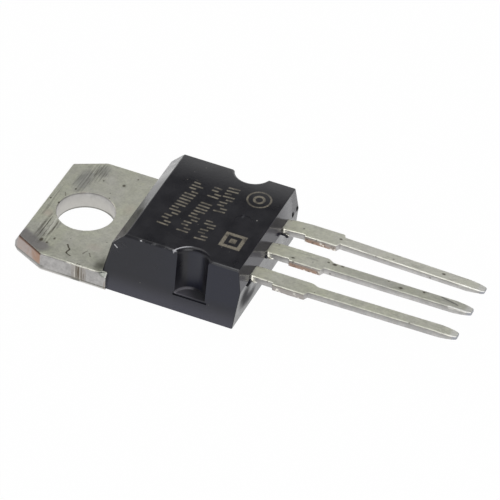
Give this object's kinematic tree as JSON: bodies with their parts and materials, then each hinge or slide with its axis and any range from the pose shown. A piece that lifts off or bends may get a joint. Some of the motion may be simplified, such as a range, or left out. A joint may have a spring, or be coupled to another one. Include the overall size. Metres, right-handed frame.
{
  "type": "voltage regulator",
  "caption": "Three-lead linear voltage regulator in a moulded power package with a drilled metal heatsink tab.",
  "frame": {"origin": "centre of the mounting hole on the back face of the metal tab", "axes": "+X along the package towards the leads, +Y across the package, +Z out of the marked face; the back lies on z = 0"},
  "size_m": [0.0291, 0.0102, 0.0044],
  "materials": {
    "tinned_copper": "matt tin plate over copper, scratched",
    "black_epoxy": "semi-gloss black moulding compound",
    "silicon": "polished silicon",
    "solder": "dull solder",
    "bond_wire": "drawn aluminium wire"
  },
  "bodies": {
    "root": {"heatsink_tab": "tinned_copper", "input_lead": "tinned_copper", "output_lead": "tinned_copper", "silicon_die": "silicon", "die_solder": "solder", "input_wire": "bond_wire", "output_wire": "bond_wire", "ground_wire": "bond_wire", "moulded_body": "black_epoxy"}
  },
  "joints": []
}
